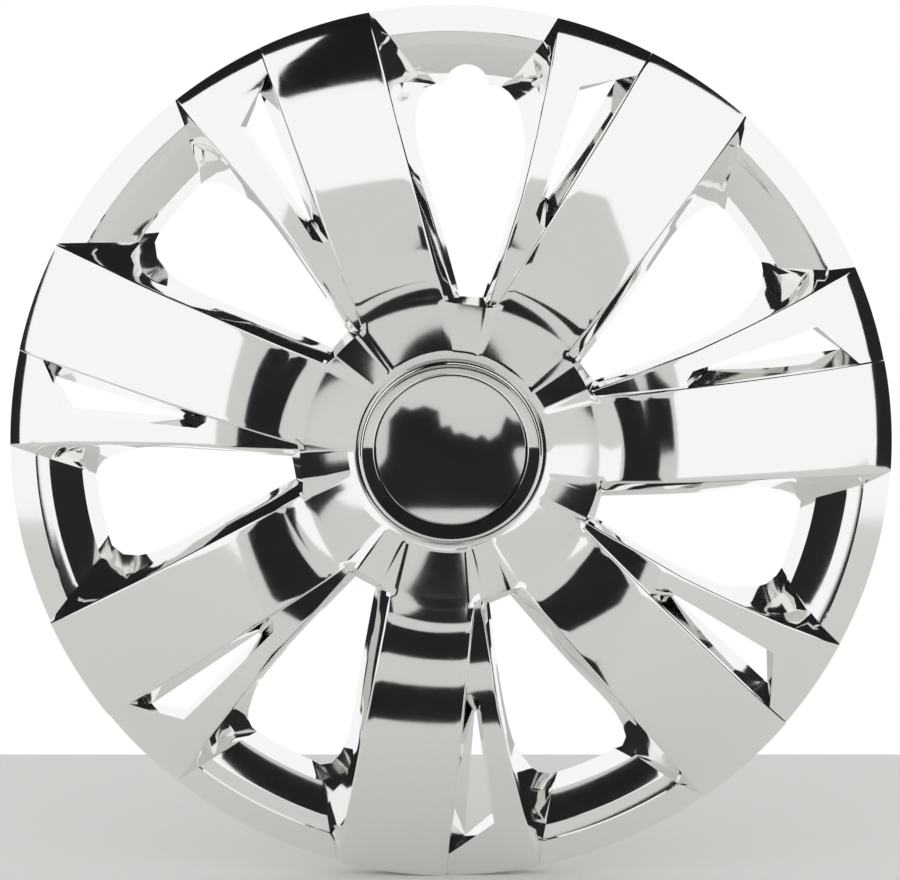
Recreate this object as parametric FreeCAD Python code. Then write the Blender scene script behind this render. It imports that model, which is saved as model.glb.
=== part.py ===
"""Seven-blade wheel cover: one moulded, chrome-plated shell with snap legs behind it.

The cover is drawn face up about the wheel axis and then stood on edge, as on a wheel.
Millimetres. In a sector's own frame `along` runs out from the axis and `across` runs clockwise.
"""
import FreeCAD
import Part
import os
from math import radians, cos, sin, sqrt, tan

V = FreeCAD.Vector
AXIS = V(0, 0, 1)

# Overall sizes
RIM_R = 200.0
RIM_DEPTH = 8.0
WALL = 2.5
SECTORS = 7
SECTOR_TURN = -3.0
STEP_ANGLE = 360.0 / SECTORS

# Centre: dome, gap round it, bead and groove, as radius and height
DOME_R = 33.9
DOME_TOP_Z = -3.0
DOME_EDGE_Z = -6.0
DOME_ROUND = 1.6
GAP_WIDTH = 0.5
GAP_FLOOR_Z = -9.0
BEAD_IN_R = 36.7
BEAD_Z = -0.4
BEAD_OUT_R = 40.1
BEAD_OUT_Z = -1.2
GROOVE_R = 41.6
GROOVE_Z = -2.0
HUB_R = 44.0
HUB_Z = 0.5

# Upper level: the wide blades, as radius or distance in from the rim, and height
HUB_ARC_R = 69.6
HUB_ARC_Z = 6.5
BLADE_RAMP_R = 76.0
BLADE_RAMP_Z = 8.9
BLADE_BEND_R = 84.0
BLADE_BEND_Z = 11.0
BLADE_CREST_R = 120.0
BLADE_CREST_Z = 13.2
BLADE_SHOULDER_IN = 30.0
BLADE_SHOULDER_Z = 9.4
BLADE_TURN_IN = 13.0
BLADE_TURN_Z = 6.0
BLADE_RIM_Z = 1.5

# Lower level: hub tabs and slotted blades, in the same way
TAB_R = 68.0
TAB_Z = 4.0
LOWER_CREST_R = 112.0
LOWER_CREST_Z = 9.9
LOWER_SHOULDER_IN = 28.0
LOWER_SHOULDER_Z = 7.0
LOWER_TURN_IN = 12.0
LOWER_TURN_Z = 4.6
LOWER_RIM_Z = 0.0

# Plan of one sector: hub points as (across, along), and how far each edge leans across per length along
BLADE_EDGE_HUB = (-6.9, 70.0)
BLADE_EDGE_LEAN = -0.3168
STEP_HUB = (17.0, 68.5)
STEP_LEAN = 0.5439
LOWER_EDGE_HUB = (14.2, 69.7)
LOWER_EDGE_LEAN = 0.2155
LOWER_EDGE_BEND_IN = 57.0
LOWER_EDGE_RIM_LEAN = 0.1396
EDGE_END_IN = 5.0
BLADE_DRAFT = 10.0
BLADE_DRAFT_Z = 10.0
TAB_HUB_LEFT = (-1.5, 43.0)
TAB_HUB_RIGHT = (9.2, 43.0)
TAB_FOOT_LEFT = (-1.7, 67.8)
TAB_FOOT_RIGHT = (13.2, 67.0)
WEDGE_DEPTH = 5.0

# Window opening: hub corners as (across, along), then (distance from the blade edge, along),
# then (distance from the blade edge, distance in from the rim)
OPENING_HUB_LEFT = (0.4, 71.3)
OPENING_HUB_RIGHT = (10.7, 71.3)
OPENING_LEFT_MID = (7.2, 107.0)
OPENING_RIGHT_MID = (-2.0, 104.0)
OPENING_LEFT = (6.1, 62.0)
OPENING_LEFT_TURN = (8.5, 50.0)
OPENING_LEFT_CORNER = (12.0, 42.0)
OPENING_TOP_LEFT = (17.6, 36.1)
OPENING_TOP_IN = 34.9
OPENING_TOP_RIGHT = (-19.0, 35.6)
OPENING_RIGHT_CORNER = (-10.6, 41.4)
OPENING_RIGHT_TURN = (-5.5, 52.0)
OPENING_RIGHT = (-2.7, 63.0)
WALL_LEAD = 3.0
BACK_HUB = (60.0, 0.0)
BACK_CREST = (108.0, 4.0)
BACK_BEND_IN = 68.0
BACK_BEND_Z = 0.5
BACK_LIP_IN = 35.0
SKIRT_DEPTH = 2.5
WALL_OVERRUN = 0.6
FOOT_OVERRUN = 0.15

# Pocket between each window and the rim, as distance in from the rim and height;
# its feet as (share of the width between the blade edges, distance in from the rim, height)
BAND_IN = 11.6
BAND_Z = -0.4
BAND_STEP = 0.8
LIP_TOP_IN = 30.1
LIP_TOP_Z = -12.3
LIP_IN = 34.1
LIP_Z = -24.5
POCKET_INNER_IN = 52.0
POCKET_LEFT_FOOT = (0.1859, 30.5, -11.5)
POCKET_RIGHT_FOOT = (-0.2593, 33.0, -13.0)

# Slot in each lower blade, front and back: outer corners as (distance from the step,
# distance in from the rim), inner corners as (across, along)
SLOT_OUTER_FRONT = ((-22.4, 32.8), (-0.65, 26.6))
SLOT_INNER_FRONT = ((38.0, 109.6), (35.2, 106.6), (32.6, 110.0))
SLOT_OUTER_BACK = ((-20.8, 34.6), (-8.0, 29.4))
SLOT_INNER_BACK = ((39.4, 121.0), (36.6, 117.4), (35.4, 120.0))
SLOT_BACK_Z = -3.6

# Valve notch in the lip of the top window
NOTCH_R = 10.0
NOTCH_CENTRE_IN = 35.8
NOTCH_TURN = 0.5

# Snap legs behind the wide blades, each with a groove for a spring-wire ring
WIRE_R = 1.4
WIRE_CLEARANCE = 0.15
LEG_INNER_IN = 23.0
LEG_THICK = 3.0
LEG_WIDTH = 16.0
LEG_TURN = 30.7
LEG_TIP_Z = -38.0
LEG_TIP_TAPER = 1.2
BARB_REACH = 2.4
BARB_Z = -31.0
BARB_RISE = 1.6
WIRE_Z = -26.0
LUG_REACH = 3.6
LUG_THICK = 2.2

FAR = 40.0


def ring_profile(edges):
    """Solid of revolution about the axis from a closed profile of edges in radius and height."""
    return Part.Face(Part.Wire(edges)).revolve(V(), AXIS, 360)


def sector_profile(edges):
    """One sector of such a solid, cut through the middle of the wide blades."""
    face = Part.Face(Part.Wire(edges))
    face.rotate(V(), AXIS, 90 - LEG_TURN)
    return face.revolve(V(), AXIS, STEP_ANGLE)


def rz(radius, height):
    """Point of a profile."""
    return V(radius, 0, height)


def lines(points):
    """Straight edges through profile points."""
    return [Part.LineSegment(rz(*a), rz(*b)).toShape() for a, b in zip(points, points[1:])]


def arc(start, middle, end):
    """Arc edge through three profile points."""
    return Part.Arc(rz(*start), rz(*middle), rz(*end)).toShape()


def arc_height(start, middle, end, radius):
    """Height at a radius of the arc through three profile points."""
    circle = Part.Arc(rz(*start), rz(*middle), rz(*end)).toShape().Curve
    return circle.Center.z + sqrt(circle.Radius ** 2 - (radius - circle.Center.x) ** 2)


def lowered(point, drop):
    """Profile point moved down."""
    return (point[0], point[1] - drop)


HUB = (HUB_R, HUB_Z)
HUB_ARC = (HUB_ARC_R, HUB_ARC_Z)
BLADE_RAMP = (BLADE_RAMP_R, BLADE_RAMP_Z)
BLADE_BEND = (BLADE_BEND_R, BLADE_BEND_Z)
BLADE_CREST = (BLADE_CREST_R, BLADE_CREST_Z)
BLADE_SHOULDER = (RIM_R - BLADE_SHOULDER_IN, BLADE_SHOULDER_Z)
BLADE_TURN = (RIM_R - BLADE_TURN_IN, BLADE_TURN_Z)
BLADE_RIM = (RIM_R, BLADE_RIM_Z)
TAB = (TAB_R, TAB_Z)
LOWER_CREST = (LOWER_CREST_R, LOWER_CREST_Z)
LOWER_SHOULDER = (RIM_R - LOWER_SHOULDER_IN, LOWER_SHOULDER_Z)
LOWER_TURN = (RIM_R - LOWER_TURN_IN, LOWER_TURN_Z)
LOWER_RIM = (RIM_R, LOWER_RIM_Z)
LEG_R = RIM_R - LEG_INNER_IN
LIP_R = RIM_R - LIP_IN
EDGE_END = RIM_R - EDGE_END_IN
POCKET_INNER = RIM_R - POCKET_INNER_IN
WINDOW_BACK = (BACK_HUB, BACK_CREST, (RIM_R - BACK_BEND_IN, BACK_BEND_Z), (RIM_R - BACK_LIP_IN, LIP_Z))


def blade_height(radius):
    """Height of the wide blades' face."""
    if radius < BLADE_BEND_R:
        return arc_height(HUB_ARC, BLADE_RAMP, BLADE_BEND, radius)
    if radius < BLADE_SHOULDER[0]:
        return arc_height(BLADE_BEND, BLADE_CREST, BLADE_SHOULDER, radius)
    return arc_height(BLADE_SHOULDER, BLADE_TURN, BLADE_RIM, radius)


def lower_height(radius):
    """Height of the slotted blades' face."""
    if radius < LOWER_SHOULDER[0]:
        return arc_height(TAB, LOWER_CREST, LOWER_SHOULDER, radius)
    return arc_height(LOWER_SHOULDER, LOWER_TURN, LOWER_RIM, radius)


def dome_height(radius, drop):
    """Height of the dome's face, or of its back, both about one centre on the axis."""
    rise = DOME_TOP_Z - DOME_EDGE_Z
    edge_r = DOME_R - DOME_ROUND
    ball_r = (edge_r ** 2 + rise ** 2) / (2 * rise)
    return DOME_TOP_Z - ball_r + sqrt((ball_r - drop) ** 2 - radius ** 2)


def dome_arc(start_r, end_r, drop):
    """Profile arc of the dome's face or back."""
    return arc(*[(r, dome_height(r, drop)) for r in (start_r, (start_r + end_r) / 2, end_r)])


def centre():
    """Dome, the gap round it, its bead and groove, all round, with the wall behind them."""
    edge_r = DOME_R - DOME_ROUND
    back_r = DOME_R - WALL
    front = [(edge_r, DOME_EDGE_Z), (DOME_R, DOME_EDGE_Z - DOME_ROUND), (DOME_R, GAP_FLOOR_Z),
             (DOME_R + GAP_WIDTH, GAP_FLOOR_Z), (BEAD_IN_R, BEAD_Z), (BEAD_OUT_R, BEAD_OUT_Z),
             (GROOVE_R, GROOVE_Z)]
    back = [(GROOVE_R, GROOVE_Z - WALL), (BEAD_IN_R + WALL, GROOVE_Z - WALL),
            (DOME_R + GAP_WIDTH + WALL, GAP_FLOOR_Z - WALL), (back_r, GAP_FLOOR_Z - WALL),
            (back_r, dome_height(back_r, WALL))]
    edges = [dome_arc(0, edge_r, 0)]
    edges += lines(front + back)
    edges.append(dome_arc(back_r, 0, WALL))
    edges += lines([(0, DOME_TOP_Z - WALL), (0, DOME_TOP_Z)])
    return ring_profile(edges)


def lower_body(inset):
    """One sector of all that lies behind the lower level: tabs and slotted blades, out to the rim."""
    rim = RIM_R - inset
    groove = (GROOVE_R, GROOVE_Z - inset)
    end = (rim, lower_height(rim) - inset)
    edges = lines([groove, lowered(HUB, inset), lowered(TAB, inset)])
    edges.append(arc(lowered(TAB, inset), lowered(LOWER_CREST, inset), lowered(LOWER_SHOULDER, inset)))
    edges.append(arc(lowered(LOWER_SHOULDER, inset), lowered(LOWER_TURN, inset), end))
    if inset:
        edges += lines([end, (rim, -RIM_DEPTH), (RIM_R, -RIM_DEPTH), (RIM_R, -FAR), (GROOVE_R, -FAR), groove])
    else:
        edges += lines([end, (rim, -FAR), (GROOVE_R, -FAR), groove])
    return sector_profile(edges)


def upper_body(inset):
    """One sector of all that lies behind the upper level, from the hub out to the rim."""
    rim = RIM_R - inset
    end = (rim, blade_height(rim) - inset)
    edges = lines([lowered(HUB, inset), lowered(HUB_ARC, inset)])
    edges.append(arc(lowered(HUB_ARC, inset), lowered(BLADE_RAMP, inset), lowered(BLADE_BEND, inset)))
    edges.append(arc(lowered(BLADE_BEND, inset), lowered(BLADE_CREST, inset), lowered(BLADE_SHOULDER, inset)))
    edges.append(arc(lowered(BLADE_SHOULDER, inset), lowered(BLADE_TURN, inset), end))
    edges += lines([end, (rim, -RIM_DEPTH), (HUB_R, -RIM_DEPTH), lowered(HUB, inset)])
    return sector_profile(edges)


def turned(shape, angle):
    """Copy of a shape turned about the axis, clockwise from the front."""
    copy = shape.copy()
    copy.rotate(V(), AXIS, -angle)
    return copy


def with_last(shape):
    """A shape of this sector and its copy in the sector before."""
    return [shape, turned(shape, -STEP_ANGLE)]


def next_sector(point):
    """Plan point given in the next sector's frame, in this sector's frame."""
    angle = radians(-STEP_ANGLE)
    x, y = point[0], point[1]
    return (x * cos(angle) - y * sin(angle), x * sin(angle) + y * cos(angle))


def leaning(start, lean, along):
    """Plan point of a leaning straight edge at a given distance along."""
    return (start[0] + lean * (along - start[1]), along)


def blade_edge(along):
    """Plan point of a wide blade's trailing edge, the left side of a window."""
    return leaning(BLADE_EDGE_HUB, BLADE_EDGE_LEAN, along)


def step_line(along):
    """Plan point of the step from a slotted blade up to a wide blade."""
    return leaning(STEP_HUB, STEP_LEAN, along)


def lower_edge(along):
    """Plan point of a slotted blade's leading edge, the right side of a window, with its bend."""
    bend = leaning(LOWER_EDGE_HUB, LOWER_EDGE_LEAN, RIM_R - LOWER_EDGE_BEND_IN)
    if along < bend[1]:
        return leaning(LOWER_EDGE_HUB, LOWER_EDGE_LEAN, along)
    return leaning(bend, LOWER_EDGE_RIM_LEAN, along)


def beside(edge, gap, along):
    """Plan point at a distance across from an edge."""
    return shifted(edge(along), gap)


def from_rim(edge, place):
    """Plan point given by its distances from an edge and in from the rim."""
    return beside(edge, place[0], RIM_R - place[1])


def shifted(point, across):
    """Plan point moved across."""
    return (point[0] + across, point[1])


def polygon(points, height):
    """Closed wire of plan points at one height."""
    corners = [V(p[0], p[1], height) for p in points]
    return Part.makePolygon(corners + corners[:1])


def drafted(low, low_z, high, high_z):
    """Solid between two plan outlines with as many corners."""
    return Part.makeLoft([polygon(low, low_z), polygon(high, high_z)], True, True)


def blade_outline(height, inset):
    """Plan outline of a wide blade at a height, from its step round to its trailing edge."""
    shift = (BLADE_DRAFT_Z - height) * tan(radians(BLADE_DRAFT)) - inset
    far = RIM_R + FAR
    near = HUB_R
    step = [shifted(step_line(a), -shift) for a in (near, far)]
    edge = [shifted(blade_edge(a), shift) for a in (far, near)]
    return step + [next_sector(p) for p in edge]


def hub_wedge(inset):
    """Hub part of a wide blade, which ends at the hub tabs in flat walls that taper to the hub."""
    base = HUB_ARC_Z - WEDGE_DEPTH
    share = WEDGE_DEPTH / (HUB_ARC_Z - TAB_Z)
    step_foot = (TAB_FOOT_RIGHT[0] - STEP_HUB[0]) * share
    edge_foot = (TAB_FOOT_LEFT[0] - BLADE_EDGE_HUB[0]) * share
    outlines = []
    for step_shift, edge_shift in ((step_foot, edge_foot), (0, 0)):
        outlines.append([shifted(TAB_HUB_RIGHT, inset), shifted(STEP_HUB, step_shift + inset),
                         next_sector(shifted(BLADE_EDGE_HUB, edge_shift - inset)),
                         next_sector(shifted(TAB_HUB_LEFT, -inset))])
    return drafted(outlines[0], base, outlines[1], HUB_ARC_Z)


def upper_level(inset):
    """The halves of two wide blades that lie in one sector, with their hub parts."""
    body = upper_body(inset)
    low, high = -RIM_DEPTH / 2, FAR / 2
    prism = drafted(blade_outline(low, inset), low, blade_outline(high, inset), high)
    hub = Part.makeCylinder(HUB_ARC_R, 2 * FAR, V(0, 0, -FAR))
    blades = [body.common(p).cut(hub) for p in with_last(prism)]
    wedges = [body.common(hub).common(p) for p in with_last(hub_wedge(inset))]
    return blades + wedges


def surface_point(point, height):
    """Space point over a plan point, at a height given by a rule of its radius."""
    return V(point[0], point[1], height(sqrt(point[0] ** 2 + point[1] ** 2)))


def back_height(radius):
    """Height of the windows' back edge, from hub to lip."""
    for (r0, z0), (r1, z1) in zip(WINDOW_BACK, WINDOW_BACK[1:]):
        if radius <= r1:
            break
    return z0 + (z1 - z0) * (radius - r0) / (r1 - r0)


def curve_through(points):
    """Smooth edge through space points."""
    spline = Part.BSplineCurve()
    spline.interpolate(points)
    return spline.toShape()


def wall_cut(tops, feet, inset, outward):
    """Room above a window wall that runs from points on the face down to points of the opening."""
    shift = V(outward * inset, 0, -inset)
    end_shift = shift + V(0, inset, 0)
    shifts = [shift] * (len(tops) - 1) + [end_shift]
    upper = [t + (t - f) * WALL_OVERRUN + s for t, f, s in zip(tops, feet, shifts)]
    lower = [f + (f - t) * FOOT_OVERRUN + s for t, f, s in zip(tops, feet, shifts)]
    wall = Part.makeRuledSurface(curve_through(upper), curve_through(lower))
    return wall.extrude(V(0, 0, FAR))


def left_side():
    """Plan points of an opening's left side, from hub to pocket."""
    points = [OPENING_HUB_LEFT, beside(blade_edge, *OPENING_LEFT_MID)]
    return points + [from_rim(blade_edge, p) for p in (OPENING_LEFT, OPENING_LEFT_TURN)]


def right_side():
    """Plan points of an opening's right side, from hub to pocket."""
    points = [OPENING_HUB_RIGHT, beside(lower_edge, *OPENING_RIGHT_MID)]
    return points + [from_rim(lower_edge, p) for p in (OPENING_RIGHT, OPENING_RIGHT_TURN)]


def opening_wire():
    """Plan outline of a window's opening."""
    left = [V(*p) for p in left_side()]
    right = [V(*p) for p in right_side()]
    top_left = V(*from_rim(blade_edge, OPENING_TOP_LEFT))
    top_right = V(*from_rim(lower_edge, OPENING_TOP_RIGHT))
    left_corner = V(*from_rim(blade_edge, OPENING_LEFT_CORNER))
    right_corner = V(*from_rim(lower_edge, OPENING_RIGHT_CORNER))
    edges = [Part.Arc(top_left, V(0, RIM_R - OPENING_TOP_IN, 0), top_right).toShape()]
    edges.append(Part.Arc(top_right, right_corner, right[-1]).toShape())
    sides = right[::-1] + left
    edges += [Part.LineSegment(a, b).toShape() for a, b in zip(sides, sides[1:])]
    edges.append(Part.Arc(left[-1], left_corner, top_left).toShape())
    return Part.Wire(edges)


def opening_cut(inset):
    """Straight way through a window, or the room outside its skirt."""
    wire = opening_wire()
    if inset:
        wire = wire.makeOffset2D(inset)
    prism = Part.Face(wire).extrude(V(0, 0, 3 * FAR))
    prism.translate(V(0, 0, -2 * FAR))
    return prism


def wall_points(feet, edge, height):
    """Space points along the top and the foot of a window wall; it runs on a little into the pocket."""
    along = [edge_hub(edge)] + [p[1] for p in feet[1:-1]] + [feet[-1][1] + WALL_LEAD]
    tops = [surface_point(edge(a), height) for a in along]
    return tops, [surface_point(p, back_height) for p in feet]


def edge_hub(edge):
    """Distance along at which an edge starts at the hub."""
    return BLADE_EDGE_HUB[1] if edge is blade_edge else LOWER_EDGE_HUB[1]


def side_cuts(inset):
    """Room above the two side walls of a window."""
    left = wall_points(left_side(), blade_edge, blade_height)
    right = wall_points(right_side(), lower_edge, lower_height)
    return [wall_cut(*left, inset, -1), wall_cut(*right, inset, 1)]


def above_floor(inset):
    """Room in front of the pocket floor, its lip and the rim band."""
    inner = POCKET_INNER - FAR
    lip_r = LIP_R + inset
    lip_top_r = RIM_R - LIP_TOP_IN + inset
    band_r = RIM_R - BAND_IN
    band_z = BAND_Z - inset
    points = [(inner, -2 * FAR), (lip_r, -2 * FAR), (lip_r, LIP_Z - inset), (lip_top_r, LIP_TOP_Z - inset),
              (band_r, band_z - BAND_STEP), (band_r, band_z), (RIM_R + FAR, band_z), (RIM_R + FAR, FAR),
              (inner, FAR), (inner, -2 * FAR)]
    return ring_profile(lines(points))


def wall_across(corners, along, height):
    """Where a flat wall through three space points stands across, at a place along and a height."""
    a, b, c = corners
    normal = (b - a).cross(c - a)
    return a.x - (normal.y * (along - a.y) + normal.z * (height - a.z)) / normal.x


def pocket_wall(edge, height, foot):
    """Three corners of a pocket's flat side wall: two on the blade edge and its foot."""
    tops = [surface_point(edge(a), height) for a in (POCKET_INNER, EDGE_END)]
    along = RIM_R - foot[1]
    width = lower_edge(along)[0] - blade_edge(along)[0]
    return tops + [V(*beside(edge, foot[0] * width, along), foot[2])]


def pocket_cut(inset):
    """Pocket between a window and the rim, with its two flat side walls."""
    left = pocket_wall(blade_edge, blade_height, POCKET_LEFT_FOOT)
    right = pocket_wall(lower_edge, lower_height, POCKET_RIGHT_FOOT)
    inner = POCKET_INNER - inset
    outer = RIM_R + inset + BAND_IN
    outlines = []
    for height in (LIP_Z - inset, FAR / 2):
        corners = [(wall_across(left, inner, height) - inset, inner),
                   (wall_across(left, outer, height) - inset, outer),
                   (wall_across(right, outer, height) + inset, outer),
                   (wall_across(right, inner, height) + inset, inner)]
        outlines.append((corners, height))
    prism = drafted(*outlines[0], *outlines[1])
    return prism.common(above_floor(inset))


def slot_cut(inset):
    """Slot through a lower blade, wider in front than behind."""
    high_z = FAR / 2
    front = []
    face_corners = [from_rim(step_line, p) for p in SLOT_OUTER_FRONT] + list(SLOT_INNER_FRONT)
    back_corners = [from_rim(step_line, p) for p in SLOT_OUTER_BACK] + list(SLOT_INNER_BACK)
    for face, back in zip(face_corners, back_corners):
        rise = lower_height(sqrt(face[0] ** 2 + face[1] ** 2)) - SLOT_BACK_Z
        grow = (high_z - SLOT_BACK_Z) / rise
        front.append((back[0] + (face[0] - back[0]) * grow, back[1] + (face[1] - back[1]) * grow))
    low = polygon(back_corners, SLOT_BACK_Z)
    high = polygon(front, high_z)
    if inset:
        low = low.makeOffset2D(inset, 2)
        high = high.makeOffset2D(inset, 2)
    return Part.makeLoft([low, high], True, True)


def window_cuts(inset):
    """All that is cut for one window, or the room outside its skirt."""
    cuts = [opening_cut(inset)] + side_cuts(inset)
    if inset:
        back = [(r, z - SKIRT_DEPTH) for r, z in WINDOW_BACK]
        reach = (back[-1][0] + FAR, back[-1][1])
        room = ring_profile(lines(back + [reach, (reach[0], 2 * FAR), (back[0][0], 2 * FAR), back[0]]))
        cuts = [c.common(room) for c in cuts]
    return cuts + [pocket_cut(inset)]


def skin(inset):
    """One sector of the cover as a block: its front face, or the inner face behind its wall."""
    block = lower_body(inset).fuse(upper_level(inset))
    return block.cut(window_cuts(inset) + [slot_cut(inset)])


def leg():
    """Snap leg at the top of the first sector's frame: groove for the wire inside, barb outside."""
    root_z = blade_height(LEG_R) - WALL / 2
    out_r = LEG_R + LEG_THICK
    groove = WIRE_R + WIRE_CLEARANCE
    lug_r = LEG_R - LUG_REACH
    points = [(LEG_R, root_z), (out_r, root_z), (out_r, BARB_Z + BARB_RISE), (out_r + BARB_REACH, BARB_Z),
              (out_r - LEG_TIP_TAPER, LEG_TIP_Z), (LEG_R, LEG_TIP_Z), (LEG_R, WIRE_Z - groove - LUG_THICK),
              (lug_r, WIRE_Z - groove - LUG_THICK / 2), (lug_r, WIRE_Z - groove), (LEG_R, WIRE_Z - groove),
              (LEG_R, WIRE_Z + groove), (lug_r, WIRE_Z + groove), (lug_r, WIRE_Z + groove + LUG_THICK / 2),
              (LEG_R, WIRE_Z + groove + LUG_THICK), (LEG_R, root_z)]
    profile = Part.makePolygon([V(-LEG_WIDTH / 2, r, z) for r, z in points])
    return Part.Face(profile).extrude(V(LEG_WIDTH, 0, 0))


def wheel_cover():
    """The moulded shell with its legs."""
    sector = skin(0).cut(skin(WALL))
    sectors = [turned(sector, STEP_ANGLE * k) for k in range(SECTORS)]
    shell = centre().fuse(sectors)
    notch = Part.makeCylinder(NOTCH_R, 3 * FAR, V(0, RIM_R - NOTCH_CENTRE_IN, -2 * FAR))
    shell = shell.cut(turned(notch, -NOTCH_TURN))
    legs = [turned(leg(), LEG_TURN + STEP_ANGLE * k) for k in range(SECTORS)]
    return shell.fuse(legs).removeSplitter()


def stood_up(shape):
    """The shape turned to its place on the wheel and stood on edge, its face to the front."""
    placed = turned(shape, -SECTOR_TURN)
    placed.rotate(V(), V(1, 0, 0), 90)
    return placed


os.makedirs("parts", exist_ok=True)
cover = stood_up(wheel_cover())
cover.exportStep("parts/wheel_cover.step")
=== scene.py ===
"""Chrome-plated wheel cover with seven swept blades, dressed on the frame of its solid model.

Lengths in the tables are millimetres in the cover's own frame: `across` runs clockwise, `along` runs out
from the wheel axis and `height` runs to the front. The shell is drawn one sector at a time.
"""
from itertools import product
from math import asin, atan2, cos, hypot, pi, radians, sin

import bmesh
import bpy
from mathutils import Matrix, Vector


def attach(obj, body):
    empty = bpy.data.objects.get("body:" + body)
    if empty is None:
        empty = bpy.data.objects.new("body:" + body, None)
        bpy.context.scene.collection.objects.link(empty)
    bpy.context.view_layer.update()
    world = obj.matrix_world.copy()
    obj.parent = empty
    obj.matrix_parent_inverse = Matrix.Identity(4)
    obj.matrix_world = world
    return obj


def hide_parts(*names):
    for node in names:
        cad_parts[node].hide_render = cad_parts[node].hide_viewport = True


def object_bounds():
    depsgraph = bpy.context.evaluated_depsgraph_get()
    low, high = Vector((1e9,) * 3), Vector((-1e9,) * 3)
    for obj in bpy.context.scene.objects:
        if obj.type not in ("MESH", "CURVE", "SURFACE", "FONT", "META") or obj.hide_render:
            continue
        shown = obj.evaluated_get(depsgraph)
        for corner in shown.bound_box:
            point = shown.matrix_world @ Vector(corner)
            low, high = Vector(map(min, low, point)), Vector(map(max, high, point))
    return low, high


bl_info = {
    "name": "Bladed Wheel Cover",
    "version": (1, 0, 0),
    "blender": (4, 5, 0),
    "location": "View3D > Sidebar > Wheel Cover",
    "description": "Builds a chrome-plated wheel cover on the frame of its solid model",
    "category": "Add Mesh",
}

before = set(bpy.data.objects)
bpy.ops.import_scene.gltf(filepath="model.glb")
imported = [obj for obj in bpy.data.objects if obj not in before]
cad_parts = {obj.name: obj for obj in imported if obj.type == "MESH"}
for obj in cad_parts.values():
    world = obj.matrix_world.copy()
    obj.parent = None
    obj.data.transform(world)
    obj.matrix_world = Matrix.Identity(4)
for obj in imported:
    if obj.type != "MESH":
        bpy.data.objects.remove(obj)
CAD_BOX = [list(corner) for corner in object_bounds()]
MM = 0.001

# Height of the two levels over the radius: radius, height, slope
BLADE_FACE = ((69.6, 6.5, 0.37), (80.0, 10.0, 0.27), (89.0, 11.7, 0.13), (120.0, 13.2, 0.0),
              (170.0, 9.4, -0.16), (187.0, 6.0, -0.25), (200.0, 1.5, -0.46))
LOWER_FACE = ((68.0, 4.0, 0.24), (112.0, 9.9, 0.03), (172.0, 7.0, -0.12), (188.0, 4.6, -0.22),
              (200.0, 0.2, -0.55))
# Cones of the hub ring and of its sunk tabs: radius, height
HUB_CONE = ((44.0, -0.9), (69.6, 6.5))
TAB_CONE = ((44.0, -0.9), (68.3, 5.1))

# Radii at numbered stations along a blade; the stations are the rows of the shell's grid
BLADE_STATIONS = ((0, 69.6), (5, 80.0), (9, 90.0), (16, 111.0), (29, 155.4), (36, 188.4), (48, 200.0))
SLOT_STATIONS = ((0, 69.6), (5, 80.0), (9, 90.0), (16, 111.0), (29, 162.8), (36, 174.0), (48, 200.0))
LAST = 48
ROUNDING_FULL = 3
CREASE_EASE_START = 20
CROSSING = 29
LIP_BOTTOM = 34
LIP_TOP = 36
JOIN = 38
SLOT_START = 16
SLOT_END = 36

# Numbers of faces across and along the grids
BLADE_COLS = 12
SLOTTED_COLS = 5
SLOT_TIP_COLS = 2
SLOT_OUTER_COLS = 6
POCKET_COLS = 24
TAB_COLS = 6
HUB_ROWS = 8
DOME_RINGS = 12
ROUND_STEPS = 5

# Lines of a sector in plan: across, along
TRAILING_EDGE = ((-6.9, 70.0), (-46.5, 195.0))
STEP_LINE = ((17.0, 68.5), (85.8, 195.0))
LEADING_EDGE = ((14.2, 69.7), (20.0, 96.0), (25.1, 116.0), (30.3, 144.7), (34.2, 169.7), (37.5, 196.5))
SLOT_LEFT = ((34.0, 105.6), (31.9, 110.2), (48.3, 167.2))
TAB_LEFT = ((-1.5, 43.97442), (-1.7, 68.3))
TAB_RIGHT = ((9.2, 43.02743), (13.2, 67.0))
STEP_DRAFT = 0.5

# Foot of each window wall by station: across, along, height
LEFT_FOOT = {0: (0.4, 71.3, 1.0), 16: (-12.2, 109.3, 3.6), 25: (-22.2, 138.2, -2.0), 29: (-23.7, 150.0, -6.0),
             31: (-22.8, 157.6, -11.0), 33: (-19.2, 163.2, -19.0), 34: (-15.2, 164.8, -25.0),
             36: (-23.4, 168.5, -14.2), 37: (-24.5, 169.8, -13.05), 38: (-32.25, 179.2, -4.97),
             39: (-33.3, 180.5, -4.1), 40: (-36.8, 184.75, -1.7), 41: (-37.05, 185.05, -0.5),
             48: (-45.9, 194.66, -0.4)}
RIGHT_FOOT = {0: (10.7, 71.3, 1.0), 16: (20.4, 107.5, 3.0), 23: (25.8, 136.5, -2.5), 29: (23.6, 153.0, -9.0),
              31: (21.6, 158.4, -14.0), 33: (17.6, 162.8, -20.0), 34: (14.2, 165.0, -25.0),
              36: (19.2, 169.0, -14.2), 37: (20.2, 170.3, -13.05), 38: (27.1, 180.1, -4.97),
              39: (28.1, 181.4, -4.1), 40: (31.2, 185.8, -1.7), 41: (31.4, 186.2, -0.5),
              48: (37.1, 196.53, -0.4)}
# Crease between the two faces of each window wall, from the station where the pocket begins
LEFT_CREASE = {29: (-29.9, 151.5, 3.5), 31: (-29.8, 157.5, 1.5), 33: (-29.7, 164.0, -1.5),
               34: (-29.7, 167.5, -3.2), 36: (-29.9, 172.5, -6.0)}
RIGHT_CREASE = {29: (31.0, 158.2, 4.5), 31: (30.8, 162.5, 1.5), 33: (30.4, 167.5, -1.5),
                34: (30.1, 170.0, -3.0), 36: (28.4, 174.5, -5.6)}
# Nearer the hub the crease lies at a share of the wall's width and of its drop
WALL_SHARE = 0.62
WALL_DROP = 0.5

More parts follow.
